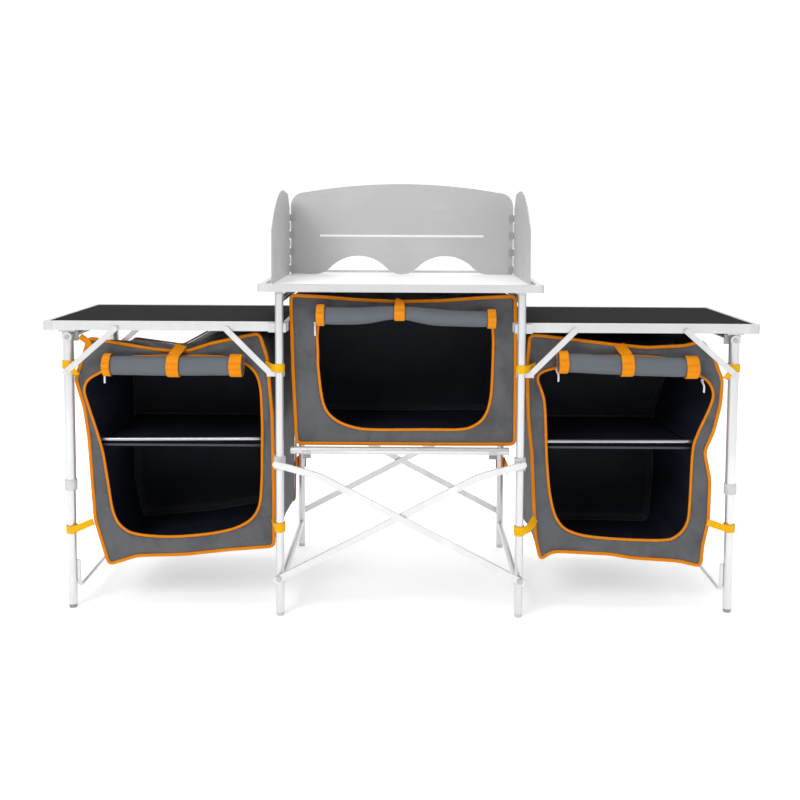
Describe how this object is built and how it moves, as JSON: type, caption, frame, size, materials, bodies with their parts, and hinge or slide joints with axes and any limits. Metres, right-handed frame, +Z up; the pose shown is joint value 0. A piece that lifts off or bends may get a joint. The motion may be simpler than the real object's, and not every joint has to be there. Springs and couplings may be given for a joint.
{
  "type": "folding camp kitchen table",
  "caption": "Folding aluminium camp kitchen: raised cooking top with folding wind shield, a hooked-on side table each side, telescopic legs and hanging fabric cupboards.",
  "frame": {"origin": "on the floor, in the middle of the footprint", "axes": "+X to the right along the row of tops, -Y to the front where the cook stands, +Z up"},
  "size_m": [1.732, 0.5408, 1.0579],
  "materials": {
    "anodised_tube": "satin anodised tube",
    "shield_sheet": "fine brushed sheet",
    "top_sheet": "smooth satin sheet",
    "board_laminate": "matt charcoal laminate",
    "grey_plastic": "fine moulded texture",
    "dark_plastic": "matt",
    "cupboard_cloth": "coated polyester weave",
    "door_cloth": "coated polyester weave, rolled",
    "webbing": "woven webbing",
    "steel": "plated"
  },
  "bodies": {
    "left_frame": {"left_front_leg": "anodised_tube", "left_rear_leg": "anodised_tube", "left_leg_feet": "grey_plastic", "left_side_bars": "anodised_tube", "left_table_board": "board_laminate", "left_table_rails": "anodised_tube", "left_table_corners": "grey_plastic", "left_table_hooks": "grey_plastic", "left_inner_struts": "anodised_tube", "left_leg_brackets": "grey_plastic", "left_cupboard": "cupboard_cloth", "left_cupboard_shelf": "cupboard_cloth", "left_door_roll": "door_cloth", "left_cupboard_straps": "webbing", "left_brace_pivots": "steel", "middle_cupboard": "cupboard_cloth", "middle_door_roll": "door_cloth", "middle_roll_straps": "webbing", "support_bars": "anodised_tube"},
    "right_frame": {"right_front_leg": "anodised_tube", "right_rear_leg": "anodised_tube", "right_leg_feet": "grey_plastic", "right_side_bars": "anodised_tube", "right_table_board": "board_laminate", "right_table_rails": "anodised_tube", "right_table_corners": "grey_plastic", "right_table_hooks": "grey_plastic", "right_inner_struts": "anodised_tube", "right_leg_brackets": "grey_plastic", "right_cupboard": "cupboard_cloth", "right_cupboard_shelf": "cupboard_cloth", "right_door_roll": "door_cloth", "right_cupboard_straps": "webbing", "right_brace_pivots": "steel"},
    "top": {"top_panel": "top_sheet", "top_rails": "anodised_tube", "top_corner_caps": "grey_plastic", "windshield_back": "shield_sheet", "windshield_hinges": "steel"},
    "left_wing": {"windshield_left_wing": "shield_sheet"},
    "right_wing": {"windshield_right_wing": "shield_sheet"},
    "braces_from_left": {"braces_left": "anodised_tube"},
    "braces_from_right": {"braces_right": "anodised_tube"},
    "left_sliders": {"left_brace_sliders": "grey_plastic"},
    "right_sliders": {"right_brace_sliders": "grey_plastic"},
    "left_upper_legs": {"left_outer_upper_legs": "anodised_tube", "left_outer_collars": "grey_plastic", "left_leg_hinge_rod": "steel"},
    "left_lower_legs": {"left_outer_lower_legs": "anodised_tube", "left_outer_feet": "dark_plastic", "left_cross_bar": "anodised_tube"},
    "left_struts": {"left_outer_struts": "anodised_tube"},
    "right_upper_legs": {"right_outer_upper_legs": "anodised_tube", "right_outer_collars": "grey_plastic", "right_leg_hinge_rod": "steel"},
    "right_lower_legs": {"right_outer_lower_legs": "anodised_tube", "right_outer_feet": "dark_plastic", "right_cross_bar": "anodised_tube"},
    "right_struts": {"right_outer_struts": "anodised_tube"}
  },
  "joints": [
    {"name": "frame_fold", "type": "slide", "parent": "left_frame", "child": "right_frame", "axis": [-1, 0, 0], "range_m": [0, 0.27], "deforming": ["middle_cupboard", "middle_door_roll", "middle_roll_straps", "left_cupboard_straps", "right_cupboard_straps"]},
    {"name": "left_brace_turn", "type": "hinge", "parent": "left_frame", "child": "braces_from_left", "pos_m": [-0.29, 0, 0.097], "axis": [0, -1, 0], "range_deg": [0, 35.41]},
    {"name": "right_brace_turn", "type": "hinge", "parent": "right_frame", "child": "braces_from_right", "pos_m": [0.29, 0, 0.097], "axis": [0, 1, 0], "range_deg": [0, 35.41]},
    {"name": "left_slider_rise", "type": "slide", "parent": "left_frame", "child": "left_sliders", "axis": [0, 0, 1], "range_m": [0, 0.2841]},
    {"name": "right_slider_rise", "type": "slide", "parent": "right_frame", "child": "right_sliders", "axis": [0, 0, 1], "range_m": [0, 0.2841]},
    {"name": "top_lift", "type": "slide", "parent": "left_frame", "child": "top", "axis": [0, 0, 1], "range_m": [0, 0.15]},
    {"name": "left_wing_fold", "type": "hinge", "parent": "top", "child": "left_wing", "pos_m": [-0.316, 0.173, 0.9], "axis": [0, 0, 1], "range_deg": [0, 88]},
    {"name": "right_wing_fold", "type": "hinge", "parent": "top", "child": "right_wing", "pos_m": [0.316, 0.173, 0.9], "axis": [0, 0, -1], "range_deg": [0, 82]},
    {"name": "left_leg_fold", "type": "hinge", "parent": "left_frame", "child": "left_upper_legs", "pos_m": [-0.81, 0, 0.676], "axis": [0, -1, 0], "range_deg": [0, 90], "deforming": ["left_cupboard", "left_cupboard_shelf", "left_door_roll", "left_cupboard_straps"]},
    {"name": "left_leg_slide", "type": "slide", "parent": "left_upper_legs", "child": "left_lower_legs", "axis": [0, 0, 1], "range_m": [0, 0.1651]},
    {"name": "left_strut_turn", "type": "hinge", "parent": "left_upper_legs", "child": "left_struts", "pos_m": [-0.81, 0, 0.592], "axis": [0, 1, 0], "range_deg": [0, 123.12]},
    {"name": "right_leg_fold", "type": "hinge", "parent": "right_frame", "child": "right_upper_legs", "pos_m": [0.81, 0, 0.676], "axis": [0, 1, 0], "range_deg": [0, 90], "deforming": ["right_cupboard", "right_cupboard_shelf", "right_door_roll", "right_cupboard_straps"]},
    {"name": "right_leg_slide", "type": "slide", "parent": "right_upper_legs", "child": "right_lower_legs", "axis": [0, 0, 1], "range_m": [0, 0.1651]},
    {"name": "right_strut_turn", "type": "hinge", "parent": "right_upper_legs", "child": "right_struts", "pos_m": [0.81, 0, 0.592], "axis": [0, -1, 0], "range_deg": [0, 123.12]}
  ],
  "couplings": [
    {"joint": "left_brace_turn", "follows": "frame_fold", "rad_per_m": 2.2883},
    {"joint": "right_brace_turn", "follows": "frame_fold", "rad_per_m": 2.2883},
    {"joint": "left_slider_rise", "follows": "frame_fold", "ratio": 1.052},
    {"joint": "right_slider_rise", "follows": "frame_fold", "ratio": 1.052},
    {"joint": "left_leg_slide", "follows": "left_leg_fold", "m_per_rad": 0.10504},
    {"joint": "left_strut_turn", "follows": "left_leg_fold", "ratio": 1.3678},
    {"joint": "right_leg_slide", "follows": "right_leg_fold", "m_per_rad": 0.10504},
    {"joint": "right_strut_turn", "follows": "right_leg_fold", "ratio": 1.3678}
  ]
}
